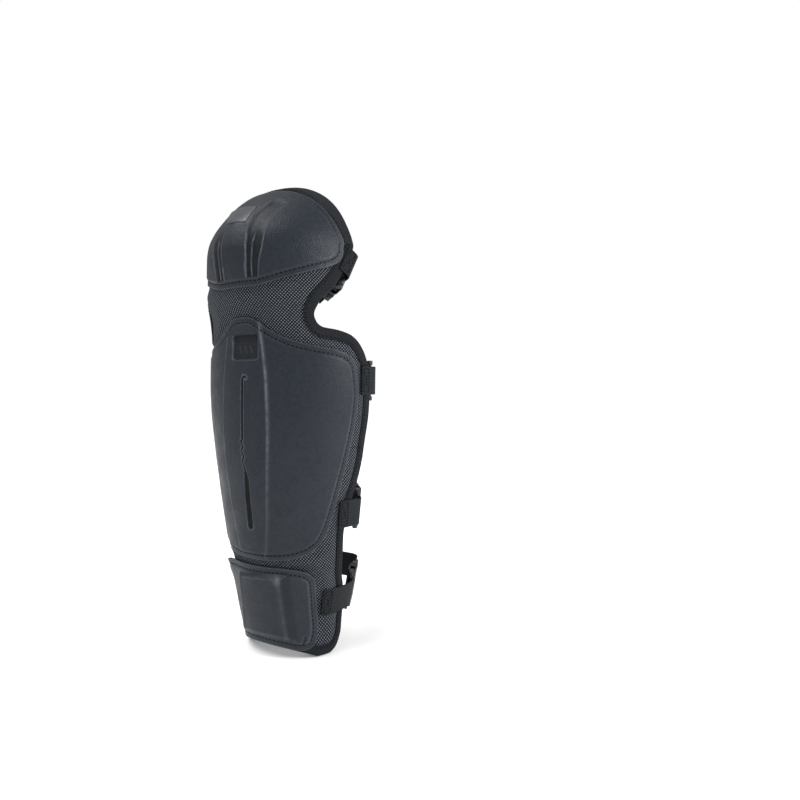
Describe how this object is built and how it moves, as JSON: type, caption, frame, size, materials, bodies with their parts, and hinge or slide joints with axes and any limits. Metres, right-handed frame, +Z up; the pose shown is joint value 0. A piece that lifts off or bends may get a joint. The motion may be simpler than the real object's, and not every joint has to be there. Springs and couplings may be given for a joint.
{
  "type": "knee and shin guard",
  "caption": "Padded leg guard with moulded knee cap, shin plate and instep plate on a mesh-covered foam pad, closed behind the leg by webbing straps with side-release buckles.",
  "frame": {"origin": "on the floor under the middle of the guard's outline, at the level of the bottom hem", "axes": "+Z up the leg, -Y is the front of the leg, +X is the side that carries the buckles"},
  "size_m": [0.1952, 0.2064, 0.4988],
  "materials": {
    "shell": "fine leather grain, semi-matte, moulded",
    "mesh": "open sandwich mesh cloth with a fine diamond pattern",
    "foam": "closed-cell foam, hidden inside the pad",
    "lining": "brushed knit lining",
    "tape": "ribbed binding tape",
    "patch": "smooth moulded patch, blank",
    "webbing": "woven polyester webbing",
    "buckle": "injection-moulded acetal, satin"
  },
  "bodies": {
    "shin": {"shin_mesh_cover": "mesh", "shin_foam_core": "foam", "shin_lining": "lining", "knee_bend_bridge": "mesh", "ankle_bend_bridge": "mesh", "shin_binding_right": "tape", "shin_binding_left": "tape", "shin_shell": "shell", "calf_tab": "webbing", "calf_socket": "buckle", "calf_strap": "webbing", "mid_tab": "webbing", "mid_socket": "buckle", "mid_strap": "webbing"},
    "knee": {"knee_mesh_cover": "mesh", "knee_foam_core": "foam", "knee_lining": "lining", "knee_binding": "tape", "knee_shell": "shell", "knee_patch": "patch", "knee_tab": "webbing", "knee_socket": "buckle", "knee_strap": "webbing"},
    "ankle": {"ankle_mesh_cover": "mesh", "ankle_foam_core": "foam", "ankle_lining": "lining", "ankle_binding": "tape", "ankle_shell": "shell", "ankle_tab": "webbing", "ankle_socket": "buckle", "ankle_strap": "webbing"},
    "knee_plug_part": {"knee_plug": "buckle", "knee_tail": "webbing"},
    "knee_prong_upper_part": {"knee_prong_upper": "buckle"},
    "knee_prong_lower_part": {"knee_prong_lower": "buckle"},
    "calf_plug_part": {"calf_plug": "buckle", "calf_tail": "webbing"},
    "calf_prong_upper_part": {"calf_prong_upper": "buckle"},
    "calf_prong_lower_part": {"calf_prong_lower": "buckle"},
    "mid_plug_part": {"mid_plug": "buckle", "mid_tail": "webbing"},
    "mid_prong_upper_part": {"mid_prong_upper": "buckle"},
    "mid_prong_lower_part": {"mid_prong_lower": "buckle"},
    "ankle_plug_part": {"ankle_plug": "buckle", "ankle_tail": "webbing"},
    "ankle_prong_upper_part": {"ankle_prong_upper": "buckle"},
    "ankle_prong_lower_part": {"ankle_prong_lower": "buckle"}
  },
  "joints": [
    {"name": "knee_flex", "type": "hinge", "parent": "shin", "child": "knee", "pos_m": [0, -0.09415, 0.366], "axis": [-1, 0, 0], "range_deg": [-8, 25], "stiffness_Nm_per_rad": 8, "deforming": ["knee_bend_bridge"]},
    {"name": "ankle_flex", "type": "hinge", "parent": "shin", "child": "ankle", "pos_m": [0, -0.06815, 0.101], "axis": [-1, 0, 0], "range_deg": [-6, 15], "stiffness_Nm_per_rad": 25, "deforming": ["ankle_bend_bridge"]},
    {"name": "knee_unplug", "type": "slide", "parent": "knee", "child": "knee_plug_part", "axis": [-0.8353, 0.4746, -0.2776], "range_m": [0, 0.02]},
    {"name": "knee_squeeze_upper", "type": "hinge", "parent": "knee_plug_part", "child": "knee_prong_upper_part", "pos_m": [0.06081, 0.00318, 0.40538], "axis": [0.5484, 0.6817, -0.4844], "range_deg": [0, 7], "stiffness_Nm_per_rad": 0.05},
    {"name": "knee_squeeze_lower", "type": "hinge", "parent": "knee_plug_part", "child": "knee_prong_lower_part", "pos_m": [0.05983, -0.01018, 0.38547], "axis": [0.5484, 0.6817, -0.4844], "range_deg": [-7, 0], "stiffness_Nm_per_rad": 0.05},
    {"name": "calf_unplug", "type": "slide", "parent": "shin", "child": "calf_plug_part", "axis": [-0.82, 0.5722, 0.0136], "range_m": [0, 0.02]},
    {"name": "calf_squeeze_upper", "type": "hinge", "parent": "calf_plug_part", "child": "calf_prong_upper_part", "pos_m": [0.06874, 0.02978, 0.30088], "axis": [0.5721, 0.8201, -0.0098], "range_deg": [0, 7], "stiffness_Nm_per_rad": 0.05},
    {"name": "calf_squeeze_lower", "type": "hinge", "parent": "calf_plug_part", "child": "calf_prong_lower_part", "pos_m": [0.06833, 0.02978, 0.27689], "axis": [0.5721, 0.8201, -0.0098], "range_deg": [-7, 0], "stiffness_Nm_per_rad": 0.05},
    {"name": "mid_unplug", "type": "slide", "parent": "shin", "child": "mid_plug_part", "axis": [-0.6116, 0.786, 0.0906], "range_m": [0, 0.02]},
    {"name": "mid_squeeze_upper", "type": "hinge", "parent": "mid_plug_part", "child": "mid_prong_upper_part", "pos_m": [0.06009, 0.03249, 0.16665], "axis": [0.7823, 0.6179, -0.0794], "range_deg": [0, 7], "stiffness_Nm_per_rad": 0.05},
    {"name": "mid_squeeze_lower", "type": "hinge", "parent": "mid_plug_part", "child": "mid_prong_lower_part", "pos_m": [0.05725, 0.03302, 0.14283], "axis": [0.7823, 0.6179, -0.0794], "range_deg": [-7, 0], "stiffness_Nm_per_rad": 0.05},
    {"name": "ankle_unplug", "type": "slide", "parent": "ankle", "child": "ankle_plug_part", "axis": [-0.4082, 0.9106, 0.0643], "range_m": [0, 0.02]},
    {"name": "ankle_squeeze_upper", "type": "hinge", "parent": "ankle_plug_part", "child": "ankle_prong_upper_part", "pos_m": [0.04724, 0.04955, 0.07281], "axis": [0.8928, 0.413, -0.1799], "range_deg": [0, 7], "stiffness_Nm_per_rad": 0.05},
    {"name": "ankle_squeeze_lower", "type": "hinge", "parent": "ankle_plug_part", "child": "ankle_prong_lower_part", "pos_m": [0.04267, 0.04917, 0.04925], "axis": [0.8928, 0.413, -0.1799], "range_deg": [-7, 0], "stiffness_Nm_per_rad": 0.05}
  ],
  "couplings": [
    {"joint": "knee_squeeze_lower", "follows": "knee_squeeze_upper", "ratio": -1},
    {"joint": "calf_squeeze_lower", "follows": "calf_squeeze_upper", "ratio": -1},
    {"joint": "mid_squeeze_lower", "follows": "mid_squeeze_upper", "ratio": -1},
    {"joint": "ankle_squeeze_lower", "follows": "ankle_squeeze_upper", "ratio": -1}
  ]
}
